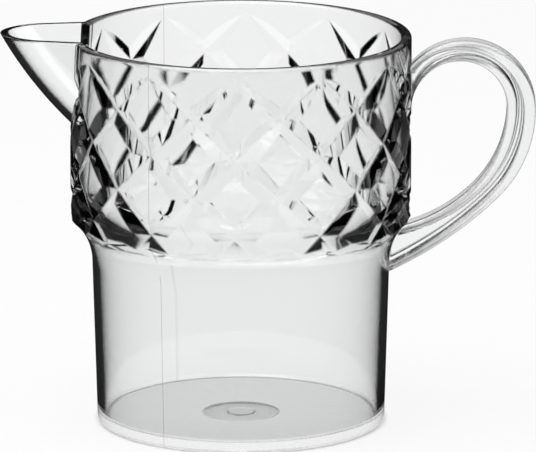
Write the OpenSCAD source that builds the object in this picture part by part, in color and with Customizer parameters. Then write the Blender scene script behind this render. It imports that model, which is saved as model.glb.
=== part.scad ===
// Clear moulded jug with a diamond-cut band, a pouring spout and an open loop handle.
// Millimetres. The base stands on z = 0, the body's axis is Z, the spout points along -X
// and the handle along +X.

/* [Vessel] */
// Height of the rim above the table
jug_h = 159.3; // [154:0.1:168]
// Outside radius of the rim and of the diamond faces
rim_r = 68.8; // [66:0.1:72]
// Wall thickness of the band
wall = 4.2; // [3.6:0.1:5]
// Wall thickness of the lower cup
cup_wall = 3.1; // [2.4:0.1:4.2]
// Radius that rounds both edges of the rim
rim_round = 1.6; // [0.6:0.1:1.7]
// How far the lower cup stands inside the band
shoulder_step = 8.7; // [7:0.1:10.5]
// How far the lower cup narrows down to its base
cup_draft = 1.8; // [0.5:0.1:3]
// Thickness of the floor
floor_t = 3.2; // [2.5:0.1:5]
// Radius of the outer bottom edge
base_round = 2; // [1:0.1:3]
// Radius of the fillet between the floor and the inner wall
floor_round = 2.5; // [1:0.1:4]
// Height of the band's crisp lower edge
shoulder_z = 84.7; // [80:0.1:90]
// Radius of the hollow curve inside the shoulder, next to the lower cup
shoulder_inside_hollow = 52; // [30:1:70]
// Radius of the round curve inside the shoulder, next to the band
shoulder_inside_round = 30; // [15:1:30]
// Radius of the hollow curve between the band and the lower cup
cove_r = 25; // [18:0.5:32]

/* [Gate recess] */
// Diameter of the shallow recess under the base
recess_d = 31; // [20:0.5:40]
// Depth of the recess
recess_depth = 0.9; // [0.5:0.1:1.5]
// Diameter of the round gate mark in the recess
gate_d = 11; // [6:0.5:16]
// How far the gate mark stands out of the recess
gate_h = 0.5; // [0.2:0.1:0.8]

/* [Diamond band] */
// Columns of diamonds round the body
columns = 12; // [10:2:16]
// Depth of the rim's plain zone above the highest diamond points
plain_zone = 5.2; // [3:0.1:8]
// Half the height of a diamond
row_h = 16.1; // [14:0.1:18]
// Depth of the cuts where they cross
cut_depth = 1.9; // [1:0.1:2.2]
// Height above the face at which the cuts run out at the highest points
run_out = 0.1; // [0.05:0.05:0.2]
// Share of a diamond's half height that its sloping edge takes
edge_share = 0.32; // [0.25:0.01:0.45]

/* [Spout] */
// How far the spout's tip stands out from the band
spout_out = 28; // [24:0.1:33]
// How far under the rim the spout's keel meets the band
spout_drop = 36.4; // [34.3:0.1:36.4]
// Radius of the keel's upward curve
keel_r = 160; // [120:1:240]
// Outside radius of the trough across the keel
trough_r = 19; // [15:0.5:21]
// Angle at which each side of the trough leans outwards
trough_flare = 13; // [6:0.5:20]
// Wall thickness of the spout
spout_wall = 2.8; // [2:0.1:3.5]

/* [Handle] */
// Width of the flanges across the handle
handle_w = 11; // [8:0.5:14]
// Thickness of the web between the flanges
web_t = 2.5; // [1.5:0.1:4]
// How far the handle's top lies under the rim
handle_drop = 1.8; // [0.5:0.1:4]
// How far the outside of the grip stands out from the band
handle_out = 50; // [46:0.1:55]
// How far under the rim the outermost point of the grip lies
grip_drop = 30.3; // [28:0.1:33]
// Depth of the handle from outside to inside at its top
depth_top = 8.1; // [7:0.1:10]
// Depth of the handle from outside to inside at the grip
depth_grip = 11.7; // [10.5:0.1:13]
// Thickness of the outer flange at the top
outer_top_t = 3.3; // [2:0.1:3.8]
// Thickness of the outer flange at the grip
outer_grip_t = 4.8; // [3:0.1:5.5]
// Thickness of the outer flange where its lower run would be level
outer_foot_t = 2; // [1.5:0.1:3]
// Thickness of the inner flange at the top
inner_top_t = 2.9; // [2:0.1:3.2]
// Thickness of the inner flange at the grip
inner_grip_t = 4.2; // [2.5:0.1:4.8]
// Thickness of the inner flange where its lower run is level
inner_foot_t = 2.6; // [2:0.1:4]
// Radius of the outside under the grip
lower_r = 50.2; // [46:0.1:54]
// Radius of the outside's lower run
run_r = 158; // [130:1:220]
// How far under the rim the furthest point of the finger gap lies
gap_grip_drop = 28.3; // [26.5:0.1:30]
// Radius of the finger gap under the grip
gap_lower_r = 47.4; // [45:0.1:50]
// Radius of the finger gap's lower run
gap_run_r = 62; // [52:0.5:90]
// Angle through which the grip turns before the lower run
lower_turn = 45; // [38:1:52]

/* [Fit] */
// Bond line between the body and the pieces that are set against it
bond_gap = 0.1; // [0.05:0.05:0.2]

/* [Hidden] */
// How far a cutting shape runs past what it cuts
overrun = 20;
$fn = 96;

// Lower cup, and the hollow curve that runs up from it to the lower edge of the band
cup_top_r = rim_r - shoulder_step;
cup_base_r = cup_top_r - cup_draft;
cove_x = cup_top_r + cove_r;
cove_z = shoulder_z - sqrt(pow(cove_r, 2) - pow(cove_x - rim_r, 2));

// Diamond lattice, counted in half columns round the body and in rows down from the highest points
half_columns = 2 * columns;
half_angle = 360 / half_columns;
apex_z = jug_h - plain_zone;
cut_r = rim_r - cut_depth;
peak_r = cut_r + cut_depth / edge_share;
last_row = ceil((apex_z - cove_z) / row_h);

// Keel arc through the spout's root and its tip
spout_reach = rim_r + spout_out;
spout_root_z = jug_h - spout_drop;
keel_chord = [rim_r - spout_reach, jug_h - spout_root_z];
keel_rise = sqrt(pow(keel_r, 2) - pow(norm(keel_chord) / 2, 2));
keel_mid = [-(rim_r + spout_reach) / 2, (spout_root_z + jug_h) / 2];
keel_centre = keel_mid + keel_rise / norm(keel_chord) * [keel_chord[1], -keel_chord[0]];
keel_start = atan2(jug_h + overrun - keel_centre[1], -spout_reach - overrun - keel_centre[0]);
keel_stop = atan2(spout_root_z - overrun - keel_centre[1], -rim_r + overrun - keel_centre[0]);

// Faces of the handle: the height of each at the top and its distance out at the grip
handle_top_z = jug_h - handle_drop;
handle_reach = rim_r + handle_out;
grip_z = jug_h - grip_drop;
gap_grip_z = jug_h - gap_grip_drop;
outer_in_top = handle_top_z - outer_top_t;
outer_in_reach = handle_reach - outer_grip_t;
gap_top = handle_top_z - depth_top;
gap_reach = handle_reach - depth_grip;
inner_out_top = gap_top + inner_top_t;
inner_out_reach = gap_reach + inner_grip_t;

// Root of the handle: the finger gap's upper corner sweeps round until it touches the body's wall
gap_x = gap_reach - gap_top + gap_grip_z;
root_r = gap_x - rim_r;

// Half of the body's outline, set in from the outside by a wall for the band and one for the lower cup.
// A hollow curve runs up from the cup to the band's edge; an edge radius of zero leaves that edge crisp.
module body_outline(inset, cup_inset, hollow_r, edge_round, bottom, bottom_round, top, top_round) {
    band_r = rim_r - inset;
    low_r = cup_base_r - cup_inset;
    low_x = low_r - bottom_round;
    low_z = bottom + bottom_round;
    cup_r = cup_top_r - cup_inset;
    cove = [cup_r + hollow_r, cove_z];
    edge_x = band_r - edge_round;
    edge_z = cove_z + sqrt(pow(hollow_r + edge_round, 2) - pow(cove[0] - edge_x, 2));
    touch = cove + hollow_r / (hollow_r + edge_round) * ([edge_x, edge_z] - cove);
    difference() {
        union() {
            polygon([[0, bottom], [low_x, bottom], [low_x, low_z], [low_r, low_z],
                [cup_r, cove_z], [0, cove_z]]);
            translate([low_x, low_z]) circle(bottom_round);
            polygon(concat([[0, cove_z], cove, touch], edge_round > 0 ? [[edge_x, edge_z]] : [],
                [[0, edge_z]]));
            if (edge_round > 0) intersection() {
                translate([edge_x, edge_z]) circle(edge_round);
                translate([0, edge_z - edge_round]) square([band_r, edge_round]);
            }
            translate([0, edge_z]) square([band_r, top - top_round - edge_z]);
            translate([0, top - 2 * top_round]) square([band_r - top_round, 2 * top_round]);
            translate([band_r - top_round, top - top_round]) circle(top_round);
        }
        translate(cove) circle(hollow_r);
    }
}

// Radius of a crossing of the cuts: the cuts run out at the highest points
function crossing_r(row) = row < 0 ? peak_r : row == 0 ? rim_r + run_out : cut_r;

// Height of a row; the rows below the band are drawn out under the base
function row_z(row) = row <= last_row ? apex_z - row * row_h : -overrun;

// A point of the lattice
function lattice_point(r, half_column, z) =
    [r * cos(half_column * half_angle), r * sin(half_column * half_angle), z];

// Solid with a pyramid on every diamond; the body's round outline cuts the pyramids off as diamond faces
module diamond_lattice(grow) {
    rows = [for (row = [-2 : last_row + 2]) row];
    points = concat(
        [for (row = rows) for (c = [0 : half_columns - 1])
            lattice_point(((row + c) % 2 == 0 ? crossing_r(row) : peak_r) + grow, c, row_z(row))],
        [[0, 0, row_z(-2)], [0, 0, -2 * overrun]]);
    function at(row, c) = (row + 2) * half_columns + (c + half_columns) % half_columns;
    top_centre = len(points) - 2;
    bottom_centre = len(points) - 1;
    sides = [for (row = [-1 : last_row + 1]) for (c = [0 : half_columns - 1])
        if ((row + c + half_columns) % 2 == 1) for (f = [
            [at(row, c), at(row - 1, c), at(row, c + 1)],
            [at(row, c), at(row, c + 1), at(row + 1, c)],
            [at(row, c), at(row + 1, c), at(row, c - 1)],
            [at(row, c), at(row, c - 1), at(row - 1, c)]]) f];
    caps = [for (c = [0 : half_columns - 1])
        for (f = let (
            high = (c % 2 == 0) ? -2 : -1,
            high_next = (c % 2 == 0) ? -1 : -2,
            low = ((last_row + c) % 2 == 0) ? last_row + 2 : last_row + 1,
            low_next = ((last_row + c) % 2 == 0) ? last_row + 1 : last_row + 2) [
            [top_centre, at(high_next, c + 1), at(high, c)],
            [bottom_centre, at(low, c), at(low_next, c + 1)]]) f];
    polyhedron(points, concat(sides, caps));
}

// The body before it is hollowed, drawn larger all round by a clearance
module body_blank(grow) {
    intersection() {
        rotate_extrude() body_outline(-grow, -grow, cove_r - grow, 0,
            -grow, base_round, jug_h + grow, rim_round);
        diamond_lattice(grow);
    }
}

// The space inside the body, open at the top, with the inner edge of the rim rounded
module body_space() {
    flare_r = rim_r - wall + rim_round;
    rotate_extrude() {
        body_outline(wall, cup_wall, shoulder_inside_hollow, shoulder_inside_round,
            floor_t, floor_round, jug_h + overrun, rim_round);
        difference() {
            translate([0, jug_h - rim_round]) square([flare_r, 2 * rim_round]);
            translate([flare_r, jug_h - rim_round]) circle(rim_round);
        }
    }
}

// A trough swept up along the keel, filled to the top, with its skin moved in or out
module trough(inset) {
    r = trough_r - inset;
    bend_x = keel_r - trough_r;
    side = [sin(trough_flare), cos(trough_flare)];
    lean = [-cos(trough_flare), sin(trough_flare)];
    foot = [bend_x, 0] + r * side;
    head = foot + (jug_h - spout_root_z + overrun) * lean;
    translate([keel_centre[0], 0, keel_centre[1]]) rotate([90, 0, 0]) rotate([0, 0, keel_start])
        rotate_extrude(angle = keel_stop - keel_start) {
            translate([bend_x, 0]) circle(r);
            polygon([foot, head, [head[0], -head[1]], [foot[0], -foot[1]]]);
        }
}

module vessel() color("lightgrey", 0.4) difference() {
    body_blank(0);
    body_space();
    trough(-bond_gap);
    difference() {
        translate([0, 0, -overrun]) cylinder(d = recess_d, h = recess_depth + overrun);
        translate([0, 0, recess_depth - gate_h]) cylinder(d = gate_d, h = overrun);
    }
}

module spout() color("lightgrey", 0.4) difference() {
    intersection() {
        trough(0);
        translate([-spout_reach - overrun, -rim_r, 0]) cube([spout_reach + overrun, 2 * rim_r, jug_h]);
    }
    trough(spout_wall);
    body_space();
}

// Flat shape inside one face of the handle: a round top, the turn under the grip and the lower run
module inside_face(top, reach, level, turn_r, far_r) {
    top_r = top - level;
    turn_centre = [reach - turn_r, level];
    far_centre = turn_centre + (far_r - turn_r) * [-cos(lower_turn), sin(lower_turn)];
    span = 2 * handle_reach;
    translate([reach - top_r, level]) circle(top_r);
    intersection() {
        translate(turn_centre) circle(turn_r);
        translate([0, level - span]) square(span);
    }
    intersection() {
        translate(far_centre) circle(far_r);
        translate([0, level - span]) square(span);
        translate(turn_centre) rotate(-lower_turn) translate([-span, -span]) square([2 * span, span]);
    }
}

module outside_shape() inside_face(handle_top_z, handle_reach, grip_z, lower_r, run_r);

module outer_flange_inside()
    inside_face(outer_in_top, outer_in_reach, grip_z, lower_r - outer_foot_t, run_r - outer_foot_t);

module inner_flange_outside() inside_face(inner_out_top, inner_out_reach, gap_grip_z,
    gap_lower_r + inner_foot_t, gap_run_r + inner_foot_t);

// The gap for the fingers; towards the body its top sweeps down to the wall
module finger_gap() {
    inside_face(gap_top, gap_reach, gap_grip_z, gap_lower_r, gap_run_r);
    intersection() {
        translate([gap_x, gap_top - root_r]) circle(root_r);
        square([gap_x, gap_top]);
    }
}

// Flat shape made into a plate that stands across the handle's middle plane
module plate(width) rotate([90, 0, 0]) translate([0, 0, -width / 2]) linear_extrude(width) children();

module handle() color("lightgrey", 0.4) difference() {
    intersection() {
        union() {
            plate(handle_w) difference() {
                outside_shape();
                outer_flange_inside();
            }
            plate(web_t) difference() {
                outer_flange_inside();
                inner_flange_outside();
            }
            plate(handle_w) difference() {
                inner_flange_outside();
                finger_gap();
            }
        }
        translate([cup_base_r / 2, -handle_w, 0]) cube([handle_reach, 2 * handle_w, jug_h]);
    }
    body_blank(bond_gap);
}

vessel();
spout();
handle();
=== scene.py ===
# %% [markdown]
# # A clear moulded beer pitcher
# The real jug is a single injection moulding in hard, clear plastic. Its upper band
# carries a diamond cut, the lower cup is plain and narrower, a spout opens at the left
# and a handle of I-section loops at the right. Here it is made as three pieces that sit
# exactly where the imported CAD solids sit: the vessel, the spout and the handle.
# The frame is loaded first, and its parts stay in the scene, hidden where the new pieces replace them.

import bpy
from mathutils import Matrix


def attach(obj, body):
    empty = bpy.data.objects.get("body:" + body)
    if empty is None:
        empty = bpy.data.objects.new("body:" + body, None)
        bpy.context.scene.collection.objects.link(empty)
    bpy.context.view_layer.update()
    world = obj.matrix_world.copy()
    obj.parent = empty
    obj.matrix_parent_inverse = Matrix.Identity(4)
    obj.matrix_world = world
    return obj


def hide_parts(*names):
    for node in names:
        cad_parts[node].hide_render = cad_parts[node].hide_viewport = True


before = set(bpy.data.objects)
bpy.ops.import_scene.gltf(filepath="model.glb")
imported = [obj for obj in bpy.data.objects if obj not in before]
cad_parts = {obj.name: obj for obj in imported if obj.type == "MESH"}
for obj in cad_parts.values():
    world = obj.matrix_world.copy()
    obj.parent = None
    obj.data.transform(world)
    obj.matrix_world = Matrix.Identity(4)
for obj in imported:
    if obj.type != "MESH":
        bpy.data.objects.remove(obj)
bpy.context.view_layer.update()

# %% Modules and units
import math

import bmesh
import bpy
from mathutils import Matrix, Vector

MM = 0.001
ORIGIN = Vector((0, 0, 0))
UP = Vector((0, 0, 1))
ACROSS = Vector((0, 1, 0))
scene = bpy.context.scene
scene.view_settings.view_transform = "Standard"

# %% [markdown]
# ## Camera
# The viewpoint was worked out from the rim, the base and the crossings of the diamond
# cut: a long lens from three metres away, a little above the rim and almost square on.
# A long lens keeps the ellipses of the rim and the base nearly alike, as they are here.

# %% Camera
CAMERA_DISTANCE = 3.0
CAMERA_TURN = math.radians(1.762)
CAMERA_RISE = math.radians(13.429)
CAMERA_TARGET = Vector((10.986, 0.338, 79.818)) * MM
FOCAL_PIXELS = 7416.37
IMAGE_WIDTH = 536
SENSOR = 36.0
CLIP_END = 20.0

camera_data = bpy.data.cameras.new("camera")
camera_data.sensor_width = SENSOR
camera_data.lens = FOCAL_PIXELS / IMAGE_WIDTH * SENSOR
camera = bpy.data.objects.new("camera", camera_data)
scene.collection.objects.link(camera)
away = Vector((math.sin(CAMERA_TURN) * math.cos(CAMERA_RISE),
               -math.cos(CAMERA_TURN) * math.cos(CAMERA_RISE),
               math.sin(CAMERA_RISE)))
camera.location = CAMERA_TARGET + CAMERA_DISTANCE * away
camera.rotation_euler = away.to_track_quat("Z", "Y").to_euler()
camera_data.clip_end = CLIP_END
scene.camera = camera
print("camera lens", round(camera_data.lens, 1), "mm at", [round(c, 3) for c in camera.location])

# %% [markdown]
# ## Drawing outlines
# Every turned or swept piece starts as an outline of straight runs and arcs. An arc is a
# single vertex that the spin operator carries round a centre, and a straight run is a
# vertex that is extruded and moved, so no list of points has to be worked out by hand.

# %% Outline helpers
ARC_STEP, ARC_MIN_STEPS = math.radians(7.5), 4


def start(bm, x, z):
    return bm.verts.new((x * MM, 0, z * MM))


def line(bm, vertex, x, z):
    made = bmesh.ops.extrude_vert_indiv(bm, verts=[vertex])["verts"][0]
    made.co = (x * MM, 0, z * MM)
    return made


def arc(bm, vertex, centre, turn, steps=None, axis=-ACROSS):
    turn = math.radians(turn)
    steps = steps or max(ARC_MIN_STEPS, math.ceil(abs(turn) / ARC_STEP))
    made = bmesh.ops.spin(bm, geom=[vertex], cent=Vector(centre) * MM, axis=axis,
                          angle=turn, steps=steps, use_duplicate=False)
    return [v for v in made["geom_last"] if isinstance(v, bmesh.types.BMVert)][0]


def angle_of(x, z, cx, cz):
    return math.degrees(math.atan2(z - cz, x - cx))


# %% Mesh helpers
MERGE = 1e-6
ML = 1e-6


def tidy(bm):
    bmesh.ops.remove_doubles(bm, verts=bm.verts[:], dist=MERGE)
    bmesh.ops.dissolve_degenerate(bm, edges=bm.edges[:], dist=MERGE)
    bmesh.ops.recalc_face_normals(bm, faces=bm.faces[:])


def close_ends(bm):
    open_edges = [e for e in bm.edges if e.is_boundary]
    if open_edges:
        bmesh.ops.holes_fill(bm, edges=open_edges, sides=0)


def as_object(name, bm):
    tidy(bm)
    mesh = bpy.data.meshes.new(name)
    bm.to_mesh(mesh)
    bm.free()
    made = bpy.data.objects.new(name, mesh)
    scene.collection.objects.link(made)
    return made


def carve(piece, *steps):
    for operation, tool in steps:
        cut = piece.modifiers.new(operation.lower(), "BOOLEAN")
        cut.operation = operation
        cut.solver = "EXACT"
        cut.object = tool
    depsgraph = bpy.context.evaluated_depsgraph_get()
    mesh = bpy.data.meshes.new_from_object(piece.evaluated_get(depsgraph))
    piece.modifiers.clear()
    old = piece.data
    piece.data = mesh
    bpy.data.meshes.remove(old)
    return piece


def drop(*tools):
    for tool in tools:
        mesh = tool.data
        bpy.data.objects.remove(tool)
        bpy.data.meshes.remove(mesh)


def measure(piece):
    bm = bmesh.new()
    bm.from_mesh(piece.data)
    loose = [e for e in bm.edges if not e.is_manifold]
    print(piece.name, len(bm.faces), "faces", round(bm.calc_volume() / ML, 2), "ml of plastic,",
          len(loose), "open edges")
    bm.free()


# %% [markdown]
# ## The turned body
# The mould's core and cavity are both turned shapes. The outside goes up from the base
# as a cup with a little draft, sweeps out through a hollow cove to a crisp lower edge
# and stands upright to the rounded rim. The space inside follows it one wall further in.
# Each is one outline that spins round the axis.

# %% Body sizes
JUG_H, RIM_R, RIM_ROUND, WALL, CUP_WALL = 159.3, 68.8, 1.6, 4.2, 3.1
CUP_TOP_R, CUP_BASE_R, BASE_ROUND = 60.1, 58.3, 2.0
FLOOR_T, FLOOR_ROUND = 3.2, 2.5
SHOULDER_Z, COVE_R = 84.7, 25.0
SHOULDER_IN_HOLLOW, SHOULDER_IN_ROUND = 52.0, 30.0
COVE_X = CUP_TOP_R + COVE_R
COVE_Z = SHOULDER_Z - math.sqrt(COVE_R ** 2 - (COVE_X - RIM_R) ** 2)
BOND_GAP, OVERRUN = 0.1, 20.0
TURN_STEPS, SWEEP_STEPS, ROUND_STEPS = 240, 16, 12


# %% Turn an outline round the axis
def turned(name, bm):
    bmesh.ops.spin(bm, geom=bm.verts[:] + bm.edges[:], cent=ORIGIN, axis=UP,
                   angle=2 * math.pi, steps=TURN_STEPS, use_merge=True, use_duplicate=False)
    return as_object(name, bm)


# %% Outside of the body
def body_outside(name, grow):
    low_r, cup_r, band_r = CUP_BASE_R + grow, CUP_TOP_R + grow, RIM_R + grow
    hollow_r, top = COVE_R - grow, JUG_H + grow
    edge_z = COVE_Z + math.sqrt(hollow_r ** 2 - (COVE_X - band_r) ** 2)
    bm = bmesh.new()
    at = line(bm, start(bm, 0, -grow), low_r - BASE_ROUND, -grow)
    at = arc(bm, at, (low_r - BASE_ROUND, 0, BASE_ROUND - grow), 90)
    at = line(bm, at, cup_r, COVE_Z)
    at = arc(bm, at, (COVE_X, 0, COVE_Z), angle_of(band_r, edge_z, COVE_X, COVE_Z) - 180,
             SWEEP_STEPS)
    at = line(bm, at, band_r, top - RIM_ROUND)
    at = arc(bm, at, (band_r - RIM_ROUND, 0, top - RIM_ROUND), 90)
    line(bm, at, 0, top)
    return turned(name, bm)


# %% Space inside the body
def body_space(name):
    low_r, cup_r, band_r = CUP_BASE_R - CUP_WALL, CUP_TOP_R - CUP_WALL, RIM_R - WALL
    hollow_x = cup_r + SHOULDER_IN_HOLLOW
    edge_x = band_r - SHOULDER_IN_ROUND
    reach = SHOULDER_IN_HOLLOW + SHOULDER_IN_ROUND
    edge_z = COVE_Z + math.sqrt(reach ** 2 - (hollow_x - edge_x) ** 2)
    touch = angle_of(edge_x, edge_z, hollow_x, COVE_Z)
    flare_r = band_r + RIM_ROUND
    bm = bmesh.new()
    at = line(bm, start(bm, 0, FLOOR_T), low_r - FLOOR_ROUND, FLOOR_T)
    at = arc(bm, at, (low_r - FLOOR_ROUND, 0, FLOOR_T + FLOOR_ROUND), 90)
    at = line(bm, at, cup_r, COVE_Z)
    at = arc(bm, at, (hollow_x, 0, COVE_Z), touch - 180, SWEEP_STEPS)
    at = arc(bm, at, (edge_x, 0, edge_z), 180 - touch, ROUND_STEPS)
    at = line(bm, at, band_r, JUG_H - RIM_ROUND)
    at = arc(bm, at, (flare_r, 0, JUG_H - RIM_ROUND), -90)
    at = line(bm, at, flare_r, JUG_H + OVERRUN)
    line(bm, at, 0, JUG_H + OVERRUN)
    return turned(name, bm)


space = body_space("space")
print("space inside", len(space.data.polygons), "faces")

# %% [markdown]
# ## The diamond cut
# The band looks as if V-grooves had been cut crosswise into a smooth cylinder. It is
# easier the other way round: one diamond is a low pyramid, copied round the axis and row
# by row into a closed skin. Where the turned body cuts the pyramids off, the smooth
# diamond faces stay, and the grooves with their mitred, star-like crossings lie between.
# The crossings of the highest row stand out of the body, so the cuts run out there.

# %% Sizes of the diamond cut
COLUMNS, ROW_H, PLAIN_ZONE = 12, 16.1, 5.2
CUT_DEPTH, RUN_OUT, EDGE_SHARE = 1.9, 0.1, 0.32
HALF_TURN = math.pi / COLUMNS
APEX_Z = JUG_H - PLAIN_ZONE
CUT_R = RIM_R - CUT_DEPTH
PEAK_R = CUT_R + CUT_DEPTH / EDGE_SHARE
FIRST_ROW, LAST_ROW = -1, math.ceil((APEX_Z + OVERRUN / 2) / ROW_H)


# %% One diamond, then all of them
def crossing_r(row):
    return PEAK_R if row < 0 else RIM_R + RUN_OUT if row == 0 else CUT_R


def add_diamond(bm, row, grow):
    ring = bmesh.ops.create_circle(bm, cap_ends=True, segments=4, radius=1)["verts"]
    tip = bmesh.ops.poke(bm, faces=ring[0].link_faces[:])["verts"]
    for vertex in ring + tip:
        side, rise = round(vertex.co.x), round(vertex.co.y)
        radius = (PEAK_R if vertex in tip else crossing_r(row - rise)) + grow
        turn = (side + row + 1) * HALF_TURN
        vertex.co = Vector((radius * math.cos(turn), radius * math.sin(turn),
                            APEX_Z - (row - rise) * ROW_H)) * MM
    skin = list({f for v in tip for f in v.link_faces})
    bmesh.ops.spin(bm, geom=skin, cent=ORIGIN, axis=UP, use_duplicate=True,
                   angle=2 * math.pi * (COLUMNS - 1) / COLUMNS, steps=COLUMNS - 1)


def diamond_lattice(name, grow):
    bm = bmesh.new()
    for row in range(FIRST_ROW, LAST_ROW + 1):
        add_diamond(bm, row, grow)
    bmesh.ops.remove_doubles(bm, verts=bm.verts[:], dist=MERGE)
    middle = (APEX_Z - LAST_ROW * ROW_H / 2) * MM
    for end in (1, -1):
        rim = [e for e in bm.edges if e.is_boundary and (e.verts[0].co.z - middle) * end > 0]
        made = bmesh.ops.extrude_edge_only(bm, edges=rim)["geom"]
        tips = [v for v in made if isinstance(v, bmesh.types.BMVert)]
        level = max(v.co.z * end for v in tips) * end
        bmesh.ops.pointmerge(bm, verts=tips, merge_co=(0, 0, level))
    return as_object(name, bm)


def body_blank(name, grow):
    lattice = diamond_lattice("lattice", grow)
    blank = carve(body_outside(name, grow), ("INTERSECT", lattice))
    drop(lattice)
    return blank


# %% [markdown]
# ## The trough of the spout
# The spout is a trough with a round keel and leaning sides, swept up along an arc. The
# same sweep, a bond line larger, cuts the notch in the body, so the two always fit.
# The section is drawn once, turned to where the arc begins and carried along by spin.

# %% Sizes of the spout
SPOUT_REACH, SPOUT_ROOT_Z, KEEL_R = 96.8, 122.9, 160.0
TROUGH_R, TROUGH_FLARE, SPOUT_WALL = 19.0, 13.0, 2.8
KEEL_STEPS, TROUGH_STEPS = 72, 44
keel_low = Vector((-RIM_R, SPOUT_ROOT_Z))
keel_high = Vector((-SPOUT_REACH, JUG_H))
chord = keel_high - keel_low
keel_rise = math.sqrt(KEEL_R ** 2 - (chord.length / 2) ** 2)
keel = (keel_low + keel_high) / 2 + keel_rise * Vector((chord.y, -chord.x)) / chord.length
KEEL_START = angle_of(-SPOUT_REACH - OVERRUN, JUG_H + OVERRUN, *keel) % 360
KEEL_STOP = angle_of(-RIM_R + OVERRUN, SPOUT_ROOT_Z - OVERRUN, *keel) % 360
print("keel's centre", [round(c, 1) for c in keel], "from", round(KEEL_START, 1), "to", round(KEEL_STOP, 1))


# %% Draw the section and sweep it
def trough_edge(bm, inset):
    lean = math.radians(TROUGH_FLARE)
    r = TROUGH_R - inset
    bend_x = keel.x + KEEL_R - TROUGH_R
    foot = Vector((bend_x + r * math.sin(lean), -r * math.cos(lean), keel.y))
    up = (JUG_H - SPOUT_ROOT_Z + OVERRUN) * Vector((-math.cos(lean), -math.sin(lean), 0))
    head = bm.verts.new((foot + up) * MM)
    first = bmesh.ops.extrude_vert_indiv(bm, verts=[head])["verts"][0]
    first.co = foot * MM
    last = arc(bm, first, (bend_x, 0, keel.y), 180 - 2 * TROUGH_FLARE, TROUGH_STEPS, UP)
    far = bmesh.ops.extrude_vert_indiv(bm, verts=[last])["verts"][0]
    far.co = last.co + Vector((up.x, -up.y, 0)) * MM
    return head, far


def swept(name, bm):
    centre = Vector((keel.x, 0, keel.y)) * MM
    bmesh.ops.rotate(bm, verts=bm.verts[:], cent=centre,
                     matrix=Matrix.Rotation(math.radians(KEEL_START), 3, -ACROSS))
    bmesh.ops.spin(bm, geom=bm.verts[:] + bm.edges[:] + bm.faces[:], cent=centre, axis=-ACROSS,
                   angle=math.radians(KEEL_STOP - KEEL_START), steps=KEEL_STEPS, use_duplicate=False)
    close_ends(bm)
    return as_object(name, bm)


def filled_trough(name, inset):
    bm = bmesh.new()
    head, far = trough_edge(bm, inset)
    bm.edges.new((head, far))
    bmesh.ops.contextual_create(bm, geom=bm.edges[:])
    return swept(name, bm)


# %% [markdown]
# ## The vessel
# All the cuts come together here: the diamond body is hollowed, notched for the spout
# and gets the shallow round recess of the moulding gate under its floor.

# %% Gate recess
RECESS_D, RECESS_DEPTH, GATE_D, GATE_H = 31.0, 0.9, 11.0, 0.5


def gate_recess(name):
    bm = bmesh.new()
    at = line(bm, start(bm, 0, -OVERRUN), RECESS_D / 2, -OVERRUN)
    at = line(bm, at, RECESS_D / 2, RECESS_DEPTH)
    at = line(bm, at, GATE_D / 2, RECESS_DEPTH)
    at = line(bm, at, GATE_D / 2, RECESS_DEPTH - GATE_H)
    line(bm, at, 0, RECESS_DEPTH - GATE_H)
    return turned(name, bm)


# %% Hollow the body
SHARP = math.radians(14)


def finish_mesh(piece):
    bm = bmesh.new()
    bm.from_mesh(piece.data)
    tidy(bm)
    bm.to_mesh(piece.data)
    bm.free()
    piece.data.shade_smooth()
    piece.data.set_sharp_from_angle(angle=SHARP)
    measure(piece)


notch, recess = filled_trough("notch", -BOND_GAP), gate_recess("recess")
vessel = carve(body_blank("jug_vessel", 0),
               ("DIFFERENCE", space), ("DIFFERENCE", notch), ("DIFFERENCE", recess))
drop(notch, recess)
finish_mesh(vessel)

# %% [markdown]
# ## The spout
# The spout is the shell of that trough: the section between its outer and its inner line
# is bridged, swept, cut level with the rim and trimmed flush with the inside of the body.
# Its lips stay crisp in the mesh, and the plastic's shading rounds them off later.

# %% Spout shell
def level_off(bm, z):
    cut = bmesh.ops.bisect_plane(bm, geom=bm.verts[:] + bm.edges[:] + bm.faces[:], dist=MERGE,
                                 plane_co=(0, 0, z), plane_no=UP, clear_outer=True)["geom_cut"]
    edges = [e for e in cut if isinstance(e, bmesh.types.BMEdge)]
    bmesh.ops.holes_fill(bm, edges=edges, sides=0)


def spout_shell(name):
    bm = bmesh.new()
    trough_edge(bm, 0)
    trough_edge(bm, SPOUT_WALL)
    bmesh.ops.bridge_loops(bm, edges=bm.edges[:])
    made = swept(name, bm)
    bm = bmesh.new()
    bm.from_mesh(made.data)
    level_off(bm, JUG_H * MM)
    tidy(bm)
    bm.to_mesh(made.data)
    bm.free()
    return carve(made, ("DIFFERENCE", space))


spout = spout_shell("jug_spout")
finish_mesh(spout)

# %% [markdown]
# ## The handle
# In section the handle is an I: a broad outer and a broad inner flange with a thin web
# between them, which keeps thick plastic from sinking as it cools. Its four long lines
# are chains of arcs. They are bridged into one flat sheet, the sheet gets the web's
# thickness, and the two flange strips are extruded further on both sides. Every fold is
# rounded by a share of its own faces, so the flanges read as beads, which draws the many
# fine lines along the real handle.

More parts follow.
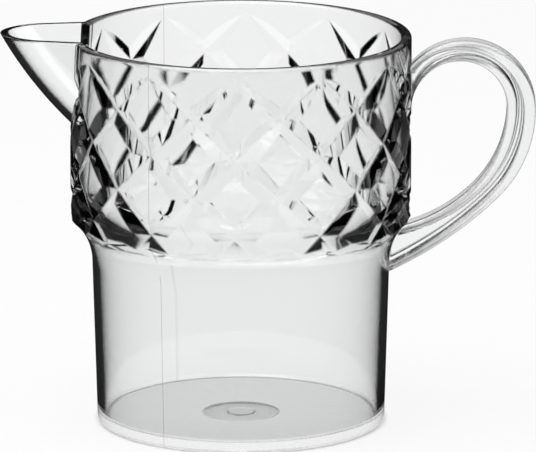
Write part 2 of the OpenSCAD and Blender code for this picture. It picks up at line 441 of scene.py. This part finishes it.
# %% Sizes of the handle
HANDLE_W, WEB_T = 11.0, 2.5
HANDLE_TOP_Z, HANDLE_REACH, GRIP_Z = 157.5, 118.8, 129.0
DEPTH_TOP, DEPTH_GRIP = 8.1, 11.7
OUTER_TOP_T, OUTER_GRIP_T, OUTER_FOOT_T = 3.3, 4.8, 2.0
INNER_TOP_T, INNER_GRIP_T, INNER_FOOT_T = 2.9, 4.2, 2.6
LOWER_R, RUN_R = 50.2, 158.0
GAP_GRIP_Z, GAP_LOWER_R, GAP_RUN_R = 131.0, 47.4, 62.0
LOWER_TURN, FOOT_X, ROOT_X, ROOT_SLOPE = 45.0, 48.0, 65.0, 0.4
GAP_TOP, GAP_REACH = HANDLE_TOP_Z - DEPTH_TOP, HANDLE_REACH - DEPTH_GRIP
TOP_STEPS, TURN_ARC_STEPS, RUN_STEPS = 28, 20, 28


# %% One long line of the handle
def handle_line(bm, top, reach, level, turn_r, run_r, root=None):
    before = set(bm.edges)
    top_r = top - level
    top_centre = (reach - top_r, 0, level)
    root_centre, root_r = root or (top_centre, top_r)
    root_x, _, root_z = root_centre
    inside = (root_x - ROOT_X) / root_r
    if inside < 1:
        begin = math.degrees(math.acos(inside))
        at = start(bm, ROOT_X, root_z + root_r * math.sin(math.radians(begin)))
        at = arc(bm, at, root_centre, begin - 90, TOP_STEPS + 1)
    else:
        face_x = root_x - root_r
        at = start(bm, ROOT_X, root_z - ROOT_SLOPE * (face_x - ROOT_X))
        at = line(bm, at, face_x, root_z)
        at = arc(bm, at, root_centre, -90, TOP_STEPS)
    at = arc(bm, at, top_centre, -90, TOP_STEPS)
    at = arc(bm, at, (reach - turn_r, 0, level), -LOWER_TURN, TURN_ARC_STEPS)
    slant = math.radians(LOWER_TURN)
    run_x = reach - turn_r - (run_r - turn_r) * math.cos(slant)
    run_z = level + (run_r - turn_r) * math.sin(slant)
    run_end = math.degrees(math.acos((FOOT_X - run_x) / run_r))
    arc(bm, at, (run_x, 0, run_z), LOWER_TURN - run_end, RUN_STEPS)
    return [e for e in bm.edges if e not in before]


# %% Flat sheet of the handle, with its two flange strips marked
FLANGE_MARK = 1


def handle_sheet():
    bm = bmesh.new()
    gap_x = GAP_REACH - GAP_TOP + GAP_GRIP_Z
    root_r = gap_x - RIM_R
    lines = [
        handle_line(bm, HANDLE_TOP_Z, HANDLE_REACH, GRIP_Z, LOWER_R, RUN_R),
        handle_line(bm, HANDLE_TOP_Z - OUTER_TOP_T, HANDLE_REACH - OUTER_GRIP_T, GRIP_Z,
                    LOWER_R - OUTER_FOOT_T, RUN_R - OUTER_FOOT_T),
        handle_line(bm, GAP_TOP + INNER_TOP_T, GAP_REACH + INNER_GRIP_T, GAP_GRIP_Z,
                    GAP_LOWER_R + INNER_FOOT_T, GAP_RUN_R + INNER_FOOT_T),
        handle_line(bm, GAP_TOP, GAP_REACH, GAP_GRIP_Z, GAP_LOWER_R, GAP_RUN_R,
                    ((gap_x, 0, GAP_TOP - root_r), root_r))]
    strips = [bmesh.ops.bridge_loops(bm, edges=a + b)["faces"] for a, b in zip(lines, lines[1:])]
    for face in strips[0] + strips[2]:
        face.material_index = FLANGE_MARK
    bmesh.ops.recalc_face_normals(bm, faces=bm.faces[:])
    return bm


# %% Web and flanges
FLANGE_ROUND_PERCENT, FLANGE_SEGMENTS = 36, 8
FOLD = math.radians(40)


def thicken(bm, faces, step):
    made = bmesh.ops.extrude_face_region(bm, geom=faces)["geom"]
    moved = [v for v in made if isinstance(v, bmesh.types.BMVert)]
    bmesh.ops.translate(bm, verts=moved, vec=step * MM * ACROSS)


def handle_blank(name):
    bm = handle_sheet()
    bmesh.ops.translate(bm, verts=bm.verts[:], vec=-WEB_T / 2 * MM * ACROSS)
    thicken(bm, bm.faces[:], WEB_T)
    for side in (-1, 1):
        strip = [f for f in bm.faces if f.material_index == FLANGE_MARK
                 and abs(f.calc_center_median().y - side * WEB_T / 2 * MM) < MERGE]
        thicken(bm, strip, side * (HANDLE_W - WEB_T) / 2)
        bmesh.ops.delete(bm, geom=strip, context="FACES")
    for face in bm.faces:
        face.material_index = 0
    tidy(bm)
    folds = [e for e in bm.edges if e.is_manifold and e.calc_face_angle() > FOLD]
    bmesh.ops.bevel(bm, geom=folds, offset=FLANGE_ROUND_PERCENT, offset_type="PERCENT",
                    segments=FLANGE_SEGMENTS, profile=0.5, affect="EDGES", material=-1, clamp_overlap=True)
    return as_object(name, bm)


blank = body_blank("seat", BOND_GAP)
handle = handle_blank("jug_handle")
measure(handle)
carve(handle, ("DIFFERENCE", blank))
drop(blank, space)
finish_mesh(handle)

# %% [markdown]
# ## Clear plastic
# Polished clear plastic is nearly all refraction. What gives it away is its surface: a
# slow ripple left by the flow of the melt, a faint haze of handling that dulls it in
# patches, and fine dark seams where the mould parts. Each of these serves every piece,
# so it is a node group that the materials place with their own values. The seams are
# found by their place on the outer skin, so the far one shows through the near wall. No
# moulded edge is quite sharp, so a bevel in the shading carries the light softly over the
# cuts, and a trace of grey absorption deepens the plastic where it is thick.

# %% Node helpers
def add_node(tree, kind, settings=None, **sockets):
    made = tree.nodes.new(kind)
    for name, value in (settings or {}).items():
        setattr(made, name, value)
    for name, value in sockets.items():
        made.inputs[name.replace("_", " ")].default_value = value
    return made


def math_node(tree, operation, *values):
    made = tree.nodes.new("ShaderNodeMath")
    made.operation = operation
    for socket, value in zip(made.inputs, values):
        if isinstance(value, bpy.types.NodeSocket):
            tree.links.new(value, socket)
        else:
            socket.default_value = value
    return made.outputs[0]


def grey_ramp(tree, stops):
    made = tree.nodes.new("ShaderNodeValToRGB")
    elements = made.color_ramp.elements
    elements.remove(elements[1])
    for count, (place, share) in enumerate(stops):
        stop = elements.new(place) if count else elements[0]
        stop.position = place
        stop.color = (share, share, share, 1.0)
    return made


def new_group(name, inputs, outputs):
    group = bpy.data.node_groups.new(name, "ShaderNodeTree")
    for label, value in inputs.items():
        socket = group.interface.new_socket(label, in_out="INPUT", socket_type="NodeSocketFloat")
        socket.default_value = value
    for label in outputs:
        group.interface.new_socket(label, in_out="OUTPUT", socket_type="NodeSocketFloat")
    return group, group.nodes.new("NodeGroupInput"), group.nodes.new("NodeGroupOutput")


# %% Flow ripple and handling haze
PATCH_SCALE, DULL_FROM, DULL_TO = 55.0, 0.52, 0.78


def moulded_surface_group():
    group, given, result = new_group(
        "moulded surface", {"Ripple Scale": 40.0, "Haze": 0.03}, ["Height", "Roughness"])
    links = group.links
    place = group.nodes.new("ShaderNodeTexCoord").outputs["Object"]
    ripple = add_node(group, "ShaderNodeTexNoise", Detail=1.0, Roughness=0.4)
    links.new(place, ripple.inputs["Vector"])
    links.new(given.outputs["Ripple Scale"], ripple.inputs["Scale"])
    links.new(ripple.outputs["Fac"], result.inputs["Height"])
    patches = add_node(group, "ShaderNodeTexNoise", Scale=PATCH_SCALE, Detail=5.0, Roughness=0.6)
    links.new(place, patches.inputs["Vector"])
    dull = add_node(group, "ShaderNodeMapRange", {"interpolation_type": "SMOOTHSTEP"},
                    From_Min=DULL_FROM, From_Max=DULL_TO)
    links.new(patches.outputs["Fac"], dull.inputs["Value"])
    links.new(math_node(group, "MULTIPLY", dull.outputs["Result"], given.outputs["Haze"]),
              result.inputs["Roughness"])
    return group


moulded_surface = moulded_surface_group()
print("group", moulded_surface.name, [s.name for s in moulded_surface.interface.items_tree])

# %% Mould seams
SEAM_AT = math.radians(120)
SEAM_HALF = 0.12
SKIN_BASE, SKIN_CUP = CUP_BASE_R - CUP_WALL / 2, CUP_TOP_R - CUP_WALL / 2
SKIN_BAND = (RIM_R - WALL + CUT_R) / 2


def mould_seam_group():
    group, _, result = new_group("mould seam", {}, ["Seam"])
    links = group.links
    at = group.nodes.new("ShaderNodeSeparateXYZ")
    links.new(group.nodes.new("ShaderNodeTexCoord").outputs["Object"], at.inputs["Vector"])
    x, side = at.outputs["X"], math_node(group, "ABSOLUTE", at.outputs["Y"])
    across = math_node(group, "ADD", math_node(group, "MULTIPLY", x, math.sin(SEAM_AT)),
                       math_node(group, "MULTIPLY", side, -math.cos(SEAM_AT)))
    along = math_node(group, "ADD", math_node(group, "MULTIPLY", x, math.cos(SEAM_AT)),
                      math_node(group, "MULTIPLY", side, math.sin(SEAM_AT)))
    near = math_node(group, "LESS_THAN", math_node(group, "ABSOLUTE", across), SEAM_HALF * MM)
    cup = add_node(group, "ShaderNodeMapRange", From_Max=COVE_Z * MM,
                   To_Min=SKIN_BASE * MM, To_Max=SKIN_CUP * MM)
    cove = add_node(group, "ShaderNodeMapRange", From_Min=COVE_Z * MM, From_Max=SHOULDER_Z * MM,
                    To_Max=(SKIN_BAND - SKIN_CUP) * MM)
    for skin in (cup, cove):
        links.new(at.outputs["Z"], skin.inputs["Value"])
    limit = math_node(group, "ADD", cup.outputs["Result"], cove.outputs["Result"])
    outside = math_node(group, "GREATER_THAN", along, limit)
    links.new(math_node(group, "MULTIPLY", near, outside), result.inputs["Seam"])
    return group


mould_seam = mould_seam_group()
print("group", mould_seam.name, "at", round(math.degrees(SEAM_AT)), "degrees from the handle")

# %% Plastic of one piece
PLASTIC_TINT = (0.99, 0.993, 0.995, 1.0)
PLASTIC_IOR = 1.54
PLASTIC_GREY = 1.5
SEAM_TINT = (0.35, 0.35, 0.35, 1.0)
RIPPLE_DEPTH, HAZE = 0.05, 0.03
SOFT_EDGE, SOFT_SAMPLES = 1.3, 4


def clear_plastic(name, ripple_scale):
    material = bpy.data.materials.new(name)
    material.use_nodes = True
    tree = material.node_tree
    tree.nodes.clear()
    links = tree.links
    output = tree.nodes.new("ShaderNodeOutputMaterial")
    plastic = add_node(tree, "ShaderNodeBsdfPrincipled", IOR=PLASTIC_IOR, Metallic=0.0,
                       Transmission_Weight=1.0)
    seam = add_node(tree, "ShaderNodeGroup", {"node_tree": mould_seam})
    tint = add_node(tree, "ShaderNodeMix", {"data_type": "RGBA"})
    tint.inputs[6].default_value, tint.inputs[7].default_value = PLASTIC_TINT, SEAM_TINT
    links.new(seam.outputs["Seam"], tint.inputs[0])
    links.new(tint.outputs[2], plastic.inputs["Base Color"])
    surface = add_node(tree, "ShaderNodeGroup", {"node_tree": moulded_surface},
                       Ripple_Scale=ripple_scale, Haze=HAZE)
    soft = add_node(tree, "ShaderNodeBevel", {"samples": SOFT_SAMPLES}, Radius=SOFT_EDGE * MM)
    bump = add_node(tree, "ShaderNodeBump", Strength=1.0, Distance=RIPPLE_DEPTH * MM)
    links.new(surface.outputs["Height"], bump.inputs["Height"])
    links.new(soft.outputs["Normal"], bump.inputs["Normal"])
    links.new(surface.outputs["Roughness"], plastic.inputs["Roughness"])
    links.new(bump.outputs["Normal"], plastic.inputs["Normal"])
    links.new(plastic.outputs["BSDF"], output.inputs["Surface"])
    depth = add_node(tree, "ShaderNodeVolumeAbsorption", Color=(0, 0, 0, 1), Density=PLASTIC_GREY)
    links.new(depth.outputs["Volume"], output.inputs["Volume"])
    return material


for piece, node_name, ripple_scale in (
        (vessel, "vessel", 42.0), (spout, "spout", 60.0), (handle, "handle", 70.0)):
    piece.data.materials.clear()
    piece.data.materials.append(clear_plastic("clear_plastic_" + node_name, ripple_scale))
    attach(piece, "root")
    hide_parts(node_name)
    print(piece.name, "has", [m.name for m in piece.data.materials])

# %% [markdown]
# ## Floor, surround and light
# The jug stands on a plain white table in a white surround, which the plastic bends and
# mirrors too. Under the jug a ramp over the distance from the axis lowers the table's white,
# so more of its matt shade shows there. That shade is partly the jug's real shadow and partly
# painted shade: a soft grey under the floor and a painted dark line where the foot stands,
# with a painted lighter patch under the gate.

# %% What sees the white surround
def seen_directly(tree):
    path = tree.nodes.new("ShaderNodeLightPath")
    seen = math_node(tree, "MAXIMUM", path.outputs["Is Camera Ray"], path.outputs["Is Glossy Ray"])
    return math_node(tree, "MAXIMUM", seen, path.outputs["Is Transmission Ray"])


# %% Surround
AMBIENT = 0.6
world = bpy.data.worlds.new("white surround")
scene.world = world
world.use_nodes = True
sky = world.node_tree
sky.nodes.clear()
sky_out = sky.nodes.new("ShaderNodeOutputWorld")
glow = add_node(sky, "ShaderNodeBackground", Color=(1, 1, 1, 1))
level = math_node(sky, "MULTIPLY_ADD", seen_directly(sky), 1 - AMBIENT, AMBIENT)
sky.links.new(level, glow.inputs["Strength"])
sky.links.new(glow.outputs["Background"], sky_out.inputs["Surface"])
print(world.name, "lights the scene with", AMBIENT)

# %% Floor
FLOOR_HALF = 3.0
FLOOR_WHITE = (0.9, 0.9, 0.9, 1.0)
SHADOW_SHARE = 0.16
# Painted shade on the table: by distance from the axis, in widths of the foot's radius, the white's share
# drops under the jug for a soft grey under the floor and a dark line at the foot, and stays full (painted
# light) under the gate; the matt part still carries the real shadow.
PAINTED_SHADE_R = 60.0
PAINTED_SHADE_STOPS = ((0, 1), (0.2, 1), (0.255, 0.82), (0.27, 0.88), (0.8, 0.8), (0.9, 0.72),
                 (0.94, 0.3), (0.965, 0.2), (1, 1 - SHADOW_SHARE))


def floor_material():
    material = bpy.data.materials.new("white_table")
    material.use_nodes = True
    tree = material.node_tree
    tree.nodes.clear()
    links = tree.links
    output = tree.nodes.new("ShaderNodeOutputMaterial")
    matt = add_node(tree, "ShaderNodeBsdfDiffuse", Color=FLOOR_WHITE)
    white = add_node(tree, "ShaderNodeEmission", Color=(1, 1, 1, 1), Strength=1.0)
    mix = tree.nodes.new("ShaderNodeMixShader")
    place = add_node(tree, "ShaderNodeVectorMath", {"operation": "LENGTH"})
    links.new(tree.nodes.new("ShaderNodeTexCoord").outputs["Object"], place.inputs[0])
    outward = math_node(tree, "DIVIDE", place.outputs["Value"], PAINTED_SHADE_R * MM)
    # painted shade: this ramp darkens the table by its place under the jug, on top of the matt floor's real
    # shadow
    painted_shade = grey_ramp(tree, PAINTED_SHADE_STOPS)
    links.new(outward, painted_shade.inputs["Fac"])
    share = math_node(tree, "MULTIPLY", seen_directly(tree), painted_shade.outputs["Color"])
    links.new(share, mix.inputs[0])
    links.new(matt.outputs["BSDF"], mix.inputs[1])
    links.new(white.outputs["Emission"], mix.inputs[2])
    links.new(mix.outputs["Shader"], output.inputs["Surface"])
    return material


bm = bmesh.new()
bmesh.ops.create_grid(bm, x_segments=1, y_segments=1, size=FLOOR_HALF)
floor = as_object("floor", bm)
floor.data.materials.append(floor_material())
print(floor.name, [round(size, 2) for size in floor.dimensions], "m")

# %% [markdown]
# ## Dark ring
# Clear plastic shows only what it bends and mirrors, so a white surround alone would make
# it vanish. In a studio the white table ends and a dark room begins, and every edge and
# steep facet mirrors that room. Here a dark ring lies round the foot and stands up as a
# wall further out. It shows only after a mirrored bounce, so the table stays white when it
# is seen straight through the jug, and the black edges follow the view from every side.

# %% Dark ring round the table
RING_NEAR, RING_FAR, RING_H, RING_LIFT = 59.0, 900.0, 480.0, 0.3
RING_DARK = (0.02, 0.02, 0.02, 1.0)


def ring_material():
    material = bpy.data.materials.new("dark_room")
    material.use_nodes = True
    tree = material.node_tree
    tree.nodes.clear()
    output = tree.nodes.new("ShaderNodeOutputMaterial")
    mix = tree.nodes.new("ShaderNodeMixShader")
    bounces = tree.nodes.new("ShaderNodeLightPath").outputs["Glossy Depth"]
    tree.links.new(math_node(tree, "GREATER_THAN", bounces, 0.5), mix.inputs[0])
    tree.links.new(tree.nodes.new("ShaderNodeBsdfTransparent").outputs["BSDF"], mix.inputs[1])
    dark = add_node(tree, "ShaderNodeBsdfDiffuse", Color=RING_DARK)
    tree.links.new(dark.outputs["BSDF"], mix.inputs[2])
    tree.links.new(mix.outputs["Shader"], output.inputs["Surface"])
    return material


bm = bmesh.new()
at = line(bm, start(bm, RING_NEAR, RING_LIFT), RING_FAR, RING_LIFT)
line(bm, at, RING_FAR, RING_H)
ring = turned("dark_ring", bm)
ring.data.materials.append(ring_material())
ring.visible_camera = False
ring.visible_diffuse = False
ring.visible_shadow = False
print(ring.name, [round(size, 2) for size in ring.dimensions], "m")

# %% Lamps
def softbox(name, place, size, power):
    lamp = bpy.data.lights.new(name, "AREA")
    lamp.shape = "SQUARE"
    lamp.size = size
    lamp.energy = power
    made = bpy.data.objects.new(name, lamp)
    made.location = place
    made.rotation_euler = Vector(place).to_track_quat("Z", "Y").to_euler()
    scene.collection.objects.link(made)
    return made


softbox("top_light", (-0.3, -0.2, 1.4), 1.0, 8)
softbox("left_light", (-1.3, -0.7, 0.9), 0.8, 4)
softbox("right_light", (1.3, -0.5, 0.8), 0.8, 3)
